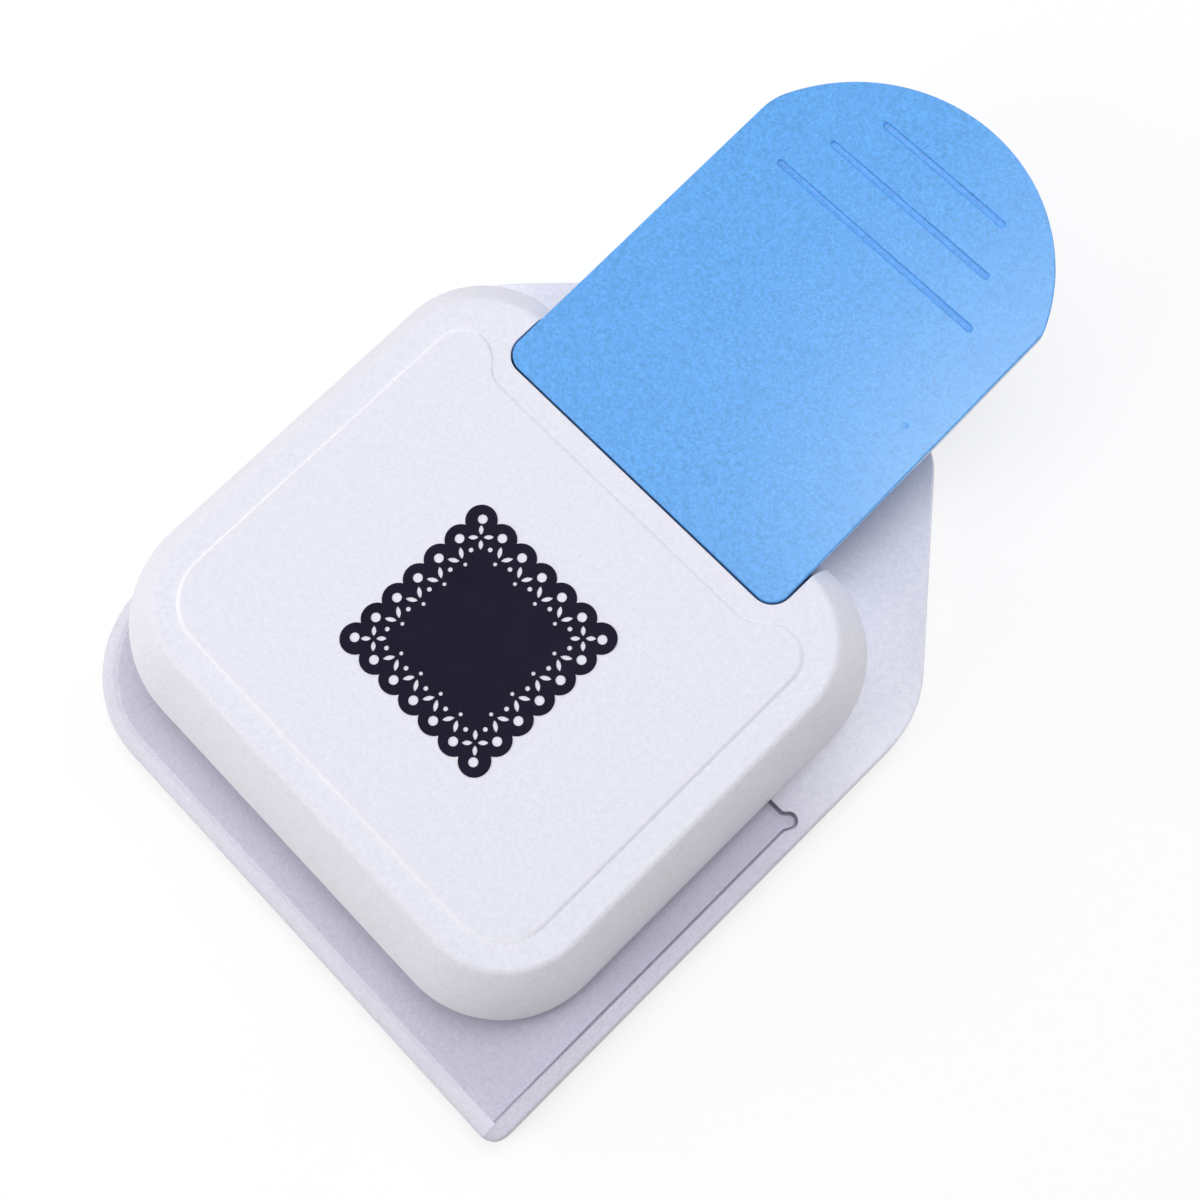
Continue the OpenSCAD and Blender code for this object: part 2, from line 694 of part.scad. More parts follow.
module lever_handle() {
    color("cornflowerblue") on_handle() difference() {
        union() {
            difference() {
                translate([0, 0, -rim_h]) linear_extrude(rim_h) handle_outline();
                translate([0, 0, -rim_h - cut]) linear_extrude(rim_h - handle_t + cut) handle_outline(rim_t);
            }
            for (s = lever_screw_spots) rod(s, handle_boss_d, web_top, -handle_t / 2);
        }
        for (i = [0:2])
            let (l = groove_len - groove_w - i * groove_pitch, y = groove_first + i * groove_pitch) {
            slab(-l / 2, l / 2, y - groove_w / 2, y + groove_w / 2, -groove_d, cut);
            for (x = [-l / 2, l / 2]) rod([x, y], groove_w, -groove_d, cut, $fn = 32);
        }
        // Way for the fork through the front rim
        slab(-fork_out - plate_gap, fork_out + plate_gap, -cut, rim_t + cut,
            -rim_h - cut, web_top + plate_gap);
        for (s = lever_screw_spots) rod(s, screw_d + 2 * seat_fit, web_top - cut, -handle_t / 3);
    }
}

// Side of the fork: level over the punch, then rising into the handle
module arm_side() {
    function in_handle(y, z) = [handle_front + y * cos(lever_tilt) - z * sin(lever_tilt),
        z_top + y * sin(lever_tilt) + z * cos(lever_tilt)];
    rotate([90, 0, 90]) linear_extrude(arm_t) polygon([[pivot_y, z_arm], [press_y + arm_bend, z_arm],
        in_handle(web_front, arm_low), in_handle(fork_reach, arm_low), in_handle(fork_reach, web_top),
        in_handle(web_front, web_top), [press_y + arm_bend, z_arm_top], [pivot_y, z_arm_top]]);
}

module lever_arm() {
    color("silver") difference() {
        union() {
            for (x = [-fork_out, fork_w / 2]) {
                translate([x, 0, 0]) arm_side();
                translate([x, pivot_y, z_pivot]) rotate([0, 90, 0]) cylinder(r = eye_r, h = arm_t);
            }
            on_handle() slab(-fork_out, fork_out, web_front, fork_reach, web_top - web_t, web_top);
        }
        for (bore = [[pivot_y, pivot_d + 2 * bush_wall], [press_y, presser_end_d]])
            translate([-fork_out - cut, bore[0], z_pivot]) rotate([0, 90, 0])
                cylinder(d = bore[1] + 2 * seat_fit, h = 2 * fork_out + 2 * cut);
        on_handle() for (s = lever_screw_spots)
            rod(s, screw_d + 2 * plate_gap, web_top - web_t - cut, web_top + cut);
    }
}

module lever_screws() {
    color("gainsboro") on_handle() for (s = lever_screw_spots) translate([s[0], s[1], web_top - web_t])
        screw(screw_d, screw_head_d, lever_screw_head_h, web_t + handle_boss_h + handle_t / 2, up = false);
}

module pivot_bushes() {
    flange_t = ear_gap - plate_gap / 2;
    color("goldenrod") translate([0, pivot_y, z_pivot]) rotate([0, 90, 0])
        for (m = [0, 1]) mirror([0, 0, m]) translate([0, 0, fork_w / 2]) difference() {
            union() {
                cylinder(r = pivot_d / 2 + bush_wall, h = arm_t);
                translate([0, 0, arm_t]) cylinder(r = eye_r - 0.6, h = flange_t);
            }
            translate([0, 0, -cut]) cylinder(d = pivot_d + 2 * run_fit, h = arm_t + ear_gap + 2 * cut);
        }
}

module presser_pin() {
    color("silver") translate([0, press_y, z_pivot]) rotate([0, 90, 0]) {
        cylinder(d = presser_d, h = fork_w - 2 * run_fit, center = true);
        cylinder(d = presser_end_d, h = 2 * fork_out, center = true);
    }
}

module holder_outline() {
    translate([-post_x, holder_front]) square([2 * post_x, holder_back - holder_front]);
    for (x = [-post_x, post_x]) {
        translate([x - tower_d / 2, -post_front]) square([tower_d, post_front + post_back]);
        for (y = [-post_front, post_back]) translate([x, y]) circle(d = tower_d);
    }
    row_strip(retainer_edge, screw_edge);
}

module punch_holder() {
    color("lightslategray") difference() {
        union() {
            translate([0, 0, z_hold]) linear_extrude(holder_t) holder_outline();
            for (s = posts) rod(s, tower_d, z_hold, z_hold_top + tower_h);
        }
        for (s = posts) {
            rod(s, 2 * spring_pocket_r, z_hold - cut, z_spring_top + bush_flange_t);
            rod(s, 2 * (bush_r + seat_fit), z_hold, z_hold_top + tower_h + cut);
        }
        for (s = punch_screw_spots) {
            rod(s, screw_d + 2 * seat_fit, z_hold - cut, z_hold_top + cut);
            rod(s, screw_head_d + 2 * seat_fit, z_hold_top - screw_head_h, z_hold_top + cut);
        }
    }
}

module guide_bushes() {
    color("goldenrod") for (s = posts) difference() {
        union() {
            rod(s, 2 * bush_flange_r, z_spring_top, z_spring_top + bush_flange_t);
            rod(s, 2 * bush_r, z_spring_top, z_hold_top + tower_h);
        }
        rod(s, post_d + 2 * run_fit, z_spring_top - cut, z_hold_top + tower_h + cut);
    }
}

module wear_plate() {
    color("dimgray") slab(-wear_w / 2, wear_w / 2, press_y - wear_len / 2, press_y + wear_len / 2,
        z_hold_top, z_wear_top);
}

module cutter_retainer() {
    color("steelblue") difference() {
        translate([0, 0, z_ret]) linear_extrude(retainer_t) row_strip(retainer_edge, screw_edge);
        cutter_holes(seat_fit, z_ret - cut, z_hold + cut);
        rod([row_x, row_y], 2 * (corner_head_r + seat_fit), z_hold - head_t, z_hold + cut);
        for (s = cutter_spots) rod(s, 2 * (cutter_head_r + seat_fit), z_hold - head_t, z_hold + cut);
        for (s = eyelet_spots) rod(s, 2 * (eyelet_head_r + seat_fit), z_hold - head_t, z_hold + cut);
        for (s = punch_screw_spots) rod(s, screw_d + 2 * seat_fit, z_ret - cut, z_hold + cut);
        for (s = posts) rod(s, 2 * (spring_pocket_r + plate_gap), z_ret - cut, z_hold + cut);
    }
}

module corner_cutter() {
    color("gainsboro") {
        translate([row_x, row_y, z_tip]) linear_extrude(z_hold - z_tip) corner_petals();
        rod([row_x, row_y], 2 * corner_head_r, z_hold - head_t, z_hold);
    }
}

module side_cutters() {
    color("gainsboro") for (s = cutter_spots) {
        translate([s[0], s[1], z_tip]) linear_extrude(z_hold - z_tip) side_petals();
        rod(s, 2 * cutter_head_r, z_hold - head_t, z_hold);
    }
}

module eyelet_pins() {
    color("gainsboro") for (s = eyelet_spots) {
        rod(s, eyelet_d, z_tip, z_hold);
        rod(s, 2 * eyelet_head_r, z_hold - head_t, z_hold);
    }
}

module punch_screws() {
    color("dimgray") for (s = punch_screw_spots) translate([s[0], s[1], z_ret + tip_gap])
        screw(screw_d, screw_head_d, screw_head_h, z_hold_top - screw_head_h - z_ret - tip_gap);
}

placed() base();
placed() rubber_feet();
placed() housing();
placed() housing_screws();
placed() top_panel();
placed() top_label();
placed() die_plate();
placed() plate_spacer();
placed() stripper_plate();
placed() die_screws();
placed() guide_posts();
placed() return_springs();
placed() pivot_bracket();
placed() bracket_screws();
placed() pivot_pin();
placed() pivot_clips();
placed() lever_handle();
placed() lever_arm();
placed() lever_screws();
placed() pivot_bushes();
placed() presser_pin();
placed() punch_holder();
placed() guide_bushes();
placed() wear_plate();
placed() cutter_retainer();
placed() corner_cutter();
placed() side_cutters();
placed() eyelet_pins();
placed() punch_screws();
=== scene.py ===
import bpy, bmesh
import json, math
from mathutils import Matrix, Vector


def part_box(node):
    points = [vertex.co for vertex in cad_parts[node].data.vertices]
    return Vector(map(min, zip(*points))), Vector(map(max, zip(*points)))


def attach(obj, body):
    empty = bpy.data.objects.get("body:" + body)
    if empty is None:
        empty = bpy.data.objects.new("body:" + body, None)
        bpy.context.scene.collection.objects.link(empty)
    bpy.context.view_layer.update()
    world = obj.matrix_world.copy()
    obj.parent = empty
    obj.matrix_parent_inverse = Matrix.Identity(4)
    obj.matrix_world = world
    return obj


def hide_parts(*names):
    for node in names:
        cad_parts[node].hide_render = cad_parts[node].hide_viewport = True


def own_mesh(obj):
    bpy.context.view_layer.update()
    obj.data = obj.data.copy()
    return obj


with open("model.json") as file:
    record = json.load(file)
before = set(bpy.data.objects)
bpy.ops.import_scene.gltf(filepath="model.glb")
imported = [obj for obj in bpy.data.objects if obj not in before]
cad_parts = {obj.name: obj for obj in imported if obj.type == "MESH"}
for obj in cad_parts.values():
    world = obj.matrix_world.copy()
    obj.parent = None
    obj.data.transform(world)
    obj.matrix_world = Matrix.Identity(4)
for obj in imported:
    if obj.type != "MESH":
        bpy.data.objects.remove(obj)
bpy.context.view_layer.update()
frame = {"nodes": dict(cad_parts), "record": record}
nodes = frame["nodes"]
mm = 0.001
hair = 0.01  # millimetres within which two heights count as one

# plan sizes count from the lever's line and a cross line through the cover, as the pivot pin gives them
pinFront = 42  # the pin lies this far in front of the cross line
pinLow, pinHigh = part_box("pivot_pin")
plan = Vector(((pinLow.x + pinHigh.x) / 2, (pinLow.y + pinHigh.y) / 2 + pinFront * mm, 0))
planSeat = Matrix.Translation(plan) @ Matrix.Scale(mm, 4)
toPlan = planSeat.inverted()
print("frame loaded, plan at", tuple(round(v, 5) for v in plan))


# small tools for the bench

def freshStart(piece=None):
    if bpy.context.mode != "OBJECT":
        bpy.ops.object.mode_set(mode="OBJECT")
    bpy.ops.object.select_all(action="DESELECT")
    if piece:
        piece.select_set(True)
        bpy.context.view_layer.objects.active = piece


def named(name):
    piece = bpy.context.active_object
    bpy.ops.object.transform_apply(location=True, rotation=True, scale=True)
    piece.name = piece.data.name = name
    return piece


def pick(piece, kind, test):  # opens the piece and selects what passes the test, in millimetres
    freshStart(piece)
    bpy.ops.object.mode_set(mode="EDIT")
    bpy.ops.mesh.select_mode(type=kind)
    bpy.ops.mesh.select_all(action="DESELECT")
    mesh = bmesh.from_edit_mesh(piece.data)
    for part in {"EDGE": mesh.edges, "FACE": mesh.faces}[kind]:
        part.select = bool(test([toPlan @ v.co for v in part.verts]))
    mesh.select_flush_mode()
    bmesh.update_edit_mesh(piece.data)


def rounding(width, segments=4):  # on the picked edges
    bpy.ops.mesh.bevel(offset=width * mm, segments=segments, affect="EDGES", clamp_overlap=True)
    bpy.ops.object.mode_set(mode="OBJECT")


def tidyNormals(piece, gap=0.001):  # points closer than the gap become one
    pick(piece, "FACE", lambda p: True)
    bpy.ops.mesh.remove_doubles(threshold=gap * mm)
    bpy.ops.mesh.normals_make_consistent(inside=False)
    bpy.ops.object.mode_set(mode="OBJECT")


def solid(name, loop, low, high, seat=planSeat):  # a filled circle, its points drawn onto an outline, then raised
    freshStart()
    bpy.ops.mesh.primitive_circle_add(vertices=len(loop), radius=mm, fill_type="NGON")
    piece = named(name)
    for vert, point in zip(piece.data.vertices, loop):
        vert.co = seat @ Vector((point[0], point[1], low))
    rise = seat.to_3x3() @ Vector((0, 0, high - low))
    pick(piece, "FACE", lambda p: True)
    bpy.ops.mesh.extrude_region_move(TRANSFORM_OT_translate={"value": rise})
    tidyNormals(piece)
    return piece


def loft(name, rings, seat=planSeat):  # skins a stack of outlines that have equal counts, closed at both ends
    mesh = bmesh.new()
    rows = [[mesh.verts.new(seat @ Vector(point)) for point in ring] for ring in rings]
    for low, high in zip(rows, rows[1:]):
        for i, vert in enumerate(low):
            mesh.faces.new((low[i - 1], vert, high[i], high[i - 1]))
    mesh.faces.new(rows[0])
    mesh.faces.new(rows[-1])
    bmesh.ops.recalc_face_normals(mesh, faces=mesh.faces)
    data = bpy.data.meshes.new(name)
    mesh.to_mesh(data)
    mesh.free()
    piece = bpy.data.objects.new(name, data)
    bpy.context.scene.collection.objects.link(piece)
    return piece


def rod(name, x, y, radius, low, high, sides=40, seat=planSeat):
    turns = [2 * math.pi * i / sides for i in range(sides)]
    return solid(name, [(x + radius * math.cos(a), y + radius * math.sin(a)) for a in turns], low, high, seat)


def block(name, x0, x1, y0, y1, low, high, seat=planSeat):
    return solid(name, [(x0, y0), (x1, y0), (x1, y1), (x0, y1)], low, high, seat)


def work(target, tool, how="DIFFERENCE"):  # one boolean, the tool used up
    freshStart(target)
    cutter = target.modifiers.new("cut", "BOOLEAN")
    cutter.operation, cutter.solver, cutter.object = how, "EXACT", tool
    bpy.ops.object.modifier_apply(modifier=cutter.name)
    bpy.data.objects.remove(tool)


def arc(x, y, r, start, end, steps):
    angles = [math.radians(start + (end - start) * i / steps) for i in range(steps + 1)]
    return [(x + r * math.cos(a), y + r * math.sin(a)) for a in angles]


def ringOf(x, y, r, steps):
    return arc(x, y, r, 0, 360, steps)[:-1]


def cornerWays(corners, i):  # a corner, and the ways from it to the corners before and after
    here = Vector(corners[i][:2])
    a = (Vector(corners[i - 1][:2]) - here).normalized()
    b = (Vector(corners[(i + 1) % len(corners)][:2]) - here).normalized()
    return here, a, b


def rounded(corners, steps=12):  # corners are x, y and a radius
    loop = []
    for i, (x, y, r) in enumerate(corners):
        if r <= 0:
            loop.append((x, y))
            continue
        here, a, b = cornerWays(corners, i)
        half = a.angle(b) / 2
        centre = here + (a + b).normalized() * r / math.sin(half)
        u, v = here + a * r / math.tan(half) - centre, here + b * r / math.tan(half) - centre
        turn = math.pi - 2 * half
        for k in range(steps + 1):
            t = k / steps
            point = centre + (u * math.sin((1 - t) * turn) + v * math.sin(t * turn)) / math.sin(turn)
            loop.append((point.x, point.y))
    return loop


def movedIn(corners, d, leastR=0.4):
    out = []
    for i, corner in enumerate(corners):
        here, a, b = cornerWays(corners, i)
        point = here + (a + b).normalized() * d / math.sin(a.angle(b) / 2)
        out.append((point.x, point.y, max(corner[2] - d, leastR)))
    return out


def joined(pieces):
    freshStart(pieces[0])
    for other in pieces[1:]:
        other.select_set(True)
    bpy.ops.object.join()
    return pieces[0]


def smooth(piece, angle):
    freshStart(piece)
    bpy.ops.object.shade_smooth_by_angle(angle=math.radians(angle))
    lay = piece.modifiers.new("lay", "WEIGHTED_NORMAL")  # broad flats stay flat beside small dents and edges
    lay.keep_sharp = True
    bpy.ops.object.modifier_apply(modifier=lay.name)


# shader bench: a wire is a socket that takes part in sums

class Wire:
    def __init__(self, finish, socket):
        self.finish, self.socket = finish, socket

    def sum(self, operation, a, b):
        return self.finish.add("ShaderNodeMath", {"operation": operation}, {0: a, 1: b})

    def larger(self, other): return self.sum("MAXIMUM", self, other)
    def __add__(self, other): return self.sum("ADD", self, other)
    def __radd__(self, other): return self.sum("ADD", other, self)
    def __sub__(self, other): return self.sum("SUBTRACT", self, other)
    def __rsub__(self, other): return self.sum("SUBTRACT", other, self)
    def __mul__(self, other): return self.sum("MULTIPLY", self, other)
    def __rmul__(self, other): return self.sum("MULTIPLY", other, self)
    def __pow__(self, other): return self.sum("POWER", self, other)


class Finish:
    def __init__(self, owner):  # a new material, or the world
        owner.use_nodes = True
        self.owner, self.tree = owner, owner.node_tree

    def feed(self, socket, value):
        if isinstance(value, Wire):
            self.tree.links.new(value.socket, socket)
        elif isinstance(value, tuple) and len(value) == 3 and socket.type == "RGBA":
            socket.default_value = (*value, 1)
        else:
            socket.default_value = value

    def add(self, kind, settings=None, values=None, out=0):
        node = self.tree.nodes.new(kind)
        for key, value in (settings or {}).items():
            setattr(node, key, value)
        for key, value in (values or {}).items():
            self.feed(node.inputs[key], value)
        return Wire(self, node.outputs[out])

    def close(self, values, last="Principled BSDF"):  # feeds the node that the owner came with
        for key, value in values.items():
            self.feed(self.tree.nodes[last].inputs[key], value)
        return self.owner

    def here(self):
        return self.add("ShaderNodeTexCoord", out="Object")

    def along(self, axis):
        return self.add("ShaderNodeSeparateXYZ", None, {0: self.here()}, out=axis)

    def noise(self, size, detail=2.0, roughness=0.55, at=None):
        return self.add("ShaderNodeTexNoise", None, {
            "Vector": at or self.here(), "Scale": 1 / (size * mm), "Detail": detail, "Roughness": roughness})

    def ramp(self, value, low, high):
        return self.add("ShaderNodeMapRange", {"clamp": True}, {
            "Value": value, "From Min": low, "From Max": high, "To Min": 0.0, "To Max": 1.0})

    def mix(self, share, a, b):
        return self.add("ShaderNodeMix", {"data_type": "RGBA"}, {0: share, 6: a, 7: b}, out=2)

    def bump(self, height, strength, depth):
        return self.add("ShaderNodeBump", None, {"Height": height, "Strength": strength, "Distance": depth * mm})

    def looked(self):  # 1 where the camera, a reflection or glass meets the owner, 0 for the light it sends on
        ways = [self.add("ShaderNodeLightPath", out=f"Is {way} Ray") for way in ("Camera", "Glossy", "Transmission")]
        return ways[0].larger(ways[1].larger(ways[2]))


def newFinish(name):
    return Finish(bpy.data.materials.new(name))


def shade(colour, by):
    return tuple(min(max(c * by, 0), 1) for c in colour)


def rimDistance(f, rim):  # how far a point lies inside the base's front and left edge, round its corner
    aside = []
    for axis, place in (("X", plan.x + rim["x"] * mm), ("Y", plan.y + rim["y"] * mm)):
        aside.append((place - f.along(axis)).larger(0.0))
    return rim["radius"] * mm - (aside[0] ** 2 + aside[1] ** 2) ** 0.5


# shares of the fine grain and the coarser specks, where their tones begin and end, and what roughness they add
grainForm = dict(detail=3.0, roughness=0.6, coarser=2.2, fine=0.65, coarse=0.35, tone=(0.38, 0.62), cloud=(0.4, 0.7),
                 roughGrain=0.16, roughCloud=0.08, bumpFine=0.7, bumpCoarse=0.3, ior=1.5)


def mouldedPlastic(name, look, g=grainForm):
    f = newFinish(name)
    grain = f.noise(look["grain"], g["detail"], g["roughness"])
    speck = f.noise(look["grain"] * g["coarser"])
    cloud = f.noise(look["cloud"])
    tone = f.ramp(grain * g["fine"] + speck * g["coarse"], *g["tone"])

    def grained(colour):
        return f.mix(tone, shade(colour, 1 - look["spread"]), shade(colour, 1 + look["spread"]))

    colour = f.mix(f.ramp(cloud, *g["cloud"]) * look["cloudShare"], grained(look["colour"]), look["tint"])
    if "front" in look:  # painted shade: the plastic darkens towards the front, a tone matched to the photo
        near, far = look["frontShadeFade"]
        colour = f.mix(f.ramp(f.along("Y") - plan.y, near * mm, far * mm), grained(look["front"]), colour)
    if "lip" in look:  # painted shade: the floor darkens away from the lip towards the cover and stays paler beside it, a tone matched to the photo
        near, far = look["lipShadeFade"]
        colour = f.mix(f.ramp(rimDistance(f, look["rim"]), near * mm, far * mm), grained(look["lip"]), colour)
    rough = look["rough"] + (grain - 0.5) * g["roughGrain"] + (cloud - 0.5) * g["roughCloud"]
    relief = f.bump(grain * g["bumpFine"] + speck * g["bumpCoarse"], look["relief"], look["depth"])
    return f.close({"Base Color": colour, "Roughness": rough, "IOR": g["ior"], "Specular IOR Level": look["gloss"],
                    "Normal": relief})


def workedMetal(name, look):
    f = newFinish(name)
    stretch = f.add("ShaderNodeMapping", None, {"Vector": f.here(), "Scale": look["stretch"]})
    lines = f.noise(look["line"], 3.0, 0.6, stretch)
    stain = f.noise(look["stain"], 3.0)
    colour = f.mix(f.ramp(stain, 0.35, 0.7) * 0.5 + lines * 0.3, look["colour"], look["dark"])
    rough = look["rough"] + (lines - 0.5) * 0.22 + (stain - 0.5) * 0.12
    return f.close({"Base Color": colour, "Metallic": 1.0, "Roughness": rough, "Normal": f.bump(lines, 0.25, 0.02)})


def dullRubber(name, look):
    f = newFinish(name)
    grain = f.noise(look["grain"], 3.0)
    dust = f.noise(look["cloud"], 3.0)
    colour = f.mix(f.ramp(dust, 0.45, 0.75) * 0.5, look["colour"], look["dust"])
    return f.close({"Base Color": colour, "Roughness": look["rough"] + (grain - 0.5) * 0.2,
                    "Normal": f.bump(grain, 0.4, 0.05)})


def dullPrint(name, look):
    f = newFinish(name)
    grain = f.noise(look["grain"], 3.0, 0.65)
    cloud = f.noise(look["cloud"])
    colour = f.mix(f.ramp(grain * 0.7 + cloud * 0.3, 0.35, 0.68), look["colour"], look["pale"])
    return f.close({"Base Color": colour, "Roughness": look["rough"] + (grain - 0.5) * 0.25,
                    "Specular IOR Level": look["gloss"], "Normal": f.bump(grain, 0.3, 0.02)})


# colours, and sizes of grain, clouds, lines and stains in millimetres
plastics = {
    "cover_plastic": dict(colour=(0.825, 0.83, 0.91), tint=(0.845, 0.84, 0.88), spread=0.045, grain=0.6, cloud=30,
                          cloudShare=0.2, rough=0.52, gloss=0.3, relief=0.4, depth=0.035),
    # painted highlight: a paler copy of the cover plastic for the panel's front and left slopes
    "panel_edge_painted_highlight": dict(colour=(0.91, 0.915, 0.97), tint=(0.91, 0.91, 0.94), spread=0.03, grain=0.6, cloud=30,
                       cloudShare=0.2, rough=0.46, gloss=0.4, relief=0.3, depth=0.03),
    # the front tone and its fade paint shade: the base plastic darkens towards the front
    "base_plastic": dict(colour=(0.875, 0.88, 0.985), tint=(0.88, 0.87, 0.96), spread=0.06, grain=0.6, cloud=26,
                         cloudShare=0.25, rough=0.56, gloss=0.3, relief=0.45, depth=0.04,
                         front=(0.645, 0.632, 0.725), frontShadeFade=(12, 40)),
    # a lip tone between the back and the floor: painted shade at the front, painted light on the rounded lip
    "base_lip_painted_shading": dict(colour=(0.75, 0.735, 0.83), tint=(0.76, 0.745, 0.82), spread=0.06, grain=0.6, cloud=26,
                     cloudShare=0.25, rough=0.5, gloss=0.35, relief=0.45, depth=0.04),
    # a darker floor: partly its own tone, partly painted shade
    "base_floor_tone_and_painted_shade": dict(colour=(0.585, 0.578, 0.69), tint=(0.605, 0.59, 0.67), spread=0.065, grain=0.6, cloud=22,
                       cloudShare=0.3, rough=0.6, gloss=0.25, relief=0.45, depth=0.04,
                       # the lip tone and its fade paint shade: the floor darkens away from the lip towards the cover
                       lip=(0.61, 0.597, 0.705), lipShadeFade=(3.6, 8), rim=dict(x=-40.4, y=-45.9, radius=26.5)),
    "lever_plastic": dict(colour=(0.112, 0.395, 0.875), tint=(0.125, 0.41, 0.885), spread=0.17, grain=0.6, cloud=24,
                          cloudShare=0.3, rough=0.25, gloss=0.5, relief=0.5, depth=0.04),
}
metals = {
    "plate_steel": dict(colour=(0.60, 0.61, 0.62), dark=(0.42, 0.43, 0.45), rough=0.38, line=0.5, stain=14,
                        stretch=(1, 0.08, 1)),
    "ground_steel": dict(colour=(0.70, 0.70, 0.71), dark=(0.55, 0.55, 0.57), rough=0.24, line=0.3, stain=9,
                         stretch=(1, 1, 0.1)),
    "spring_steel": dict(colour=(0.42, 0.42, 0.44), dark=(0.26, 0.26, 0.28), rough=0.36, line=0.4, stain=6,
                         stretch=(1, 1, 0.3)),
    "screw_steel": dict(colour=(0.66, 0.67, 0.69), dark=(0.48, 0.48, 0.50), rough=0.33, line=0.3, stain=4,
                        stretch=(1, 1, 1)),
    "tool_steel": dict(colour=(0.47, 0.48, 0.50), dark=(0.33, 0.34, 0.36), rough=0.27, line=0.25, stain=8,
                       stretch=(1, 0.2, 1)),
    "bronze": dict(colour=(0.62, 0.43, 0.20), dark=(0.40, 0.25, 0.11), rough=0.42, line=0.5, stain=5,
                   stretch=(1, 1, 1)),
}
rubberLook = dict(colour=(0.028, 0.028, 0.03), dust=(0.10, 0.10, 0.10), grain=0.5, cloud=6, rough=0.78)
printLook = dict(colour=(0.006, 0.005, 0.014), pale=(0.012, 0.011, 0.027), grain=0.5, cloud=7, rough=0.52, gloss=0.08)
finishes = {slot: mouldedPlastic(slot, look) for slot, look in plastics.items()}
finishes.update({slot: workedMetal(slot, look) for slot, look in metals.items()})
finishes["rubber"] = dullRubber("rubber", rubberLook)
finishes["label_print"] = dullPrint("label_print", printLook)
for part in frame["record"]["subparts"]:
    mesh = nodes[part["node"]].data
    mesh.materials.clear()
    mesh.materials.append(finishes[part["material_slot"]])
print("finishes:", ", ".join(sorted(finishes)))


def dress(piece, body, slot, node, angle=35):
    piece.data.materials.clear()
    piece.data.materials.append(finishes[slot])
    smooth(piece, angle)
    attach(piece, body)
    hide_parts(node)
    print(piece.name, len(piece.data.polygons), "faces")


# base: a sunk floor for the paper with a round lip, and a raised level with the fence and the stop

screwSpots = [(x, y) for x in (-49, 49) for y in (24, 41.1)]  # the screws that hold the cover
footSpots = [(-50.4, -55.9), (60.4, -60.4), (-17.25, 86.5), (22.75, 86.5)]
baseForm = dict(left=66.9, right=72.4, front=72.4, back=98.0, slantLen=46.4, slantLeft=45.6, slantRight=39.0,
                frontLeftR=26.5, frontRightR=4.0, slantR=26.0, backR=16.0, floor=9.4, top=11.0, rim=0.7,
                fenceX=69.0, stopY=16.9, reliefR=1.9, reliefIn=(0.95, 0.5), reliefStart=2.6, turnX=3.6, turnR=1.5,
                raisedLow=4.0, sunkLow=2.0, sunkHigh=14.0, outside=-90, fadeLen=5.0,
                fadeCuts=(0.4, 0.9, 1.5, 2.2, 3.0, 4.0, 5.0), lip=(8.5, 9.75),
                edge=((0.5, 1.2), (0.0, 1.7), (0.0, 7.9), (0.12, 8.45), (0.4, 8.86), (0.85, 9.17), (1.4, 9.4),
                      (2.0, 9.57), (2.4, 9.65), (2.75, 9.69), (3.0, 9.68), (3.2, 9.62), (3.4, 9.52), (3.6, 9.44),
                      (3.85, 9.4)))
lineForm = dict(low=7.5, over=0.6, out=0.03, shallow=0.55, shallowFrom=-40, shallowLen=28, fenceWidth=0.6,
                fenceY=(-68.5, -65, -60, -55, -50, -45, -20, 14.2), stopWidth=0.62, stopLift=0.06, stopFrom=13.4,
                stopEnd=60)
underForm = dict(skin=2.4, wall=2.4, tubRoom=2.7, tubCut=2.73, tubUp=3.0, pocketRoom=0.3, pocketLow=5.4, columnR=5.0,
                 footColumnR=7.9, screwR=1.8, headR=3.1, headUp=5.2, seatR=5.53, seatUp=2.6, below=-1.0, over=12.0,
                 clear=14.0)
dieForm = dict(left=2.6, right=55.6, front=-49.5, armFront=-3.5, turn=16.9, half=42, back=48.1)
outletForm = dict(x=48.6, front=-42.5, left=9.6, y=-3.5, r=6.0)


def baseCorners(b):
    slantY = b["back"] - b["slantLen"]
    return [(-b["left"], -b["front"], b["frontLeftR"]), (b["right"], -b["front"], b["frontRightR"]),
            (b["right"], slantY, b["slantR"]), (b["right"] - b["slantRight"], b["back"], b["backR"]),
            (-b["left"] + b["slantLeft"], b["back"], b["backR"]), (-b["left"], slantY, b["slantR"])]


def dieLoop(d, room):  # pocket of the die and of the spacer behind it
    left, right, half = d["left"] - room, d["right"] + room, d["half"] + room
    front, armFront, turn, back = d["front"] - room, d["armFront"] - room, d["turn"] + room, d["back"] + room
    return [(left, front), (right, front), (right, turn), (half, turn), (half, back), (-half, back),
            (-half, armFront), (left, armFront)]


def outletLoop(o):  # the chips' way out, along both rows of cutters
    x, y, r = o["x"], o["y"], o["r"]
    frontEnd, leftEnd = arc(x, o["front"], r, 180, 360, 16), arc(o["left"], y, r, 90, 270, 16)
    return frontEnd + [(x + r, y + r)] + leftEnd + [(x - r, y - r)]


def stopPath(b):  # along the fence, round the relief in the corner and along the stop
    x, y = b["fenceX"], b["stopY"]
    relief = arc(x - b["reliefIn"][0], y - b["reliefIn"][1], b["reliefR"], -18, 128, 14)
    return [(x, y - b["reliefStart"])] + relief + arc(x - b["turnX"], y + b["turnR"], b["turnR"], -52, -90, 6)


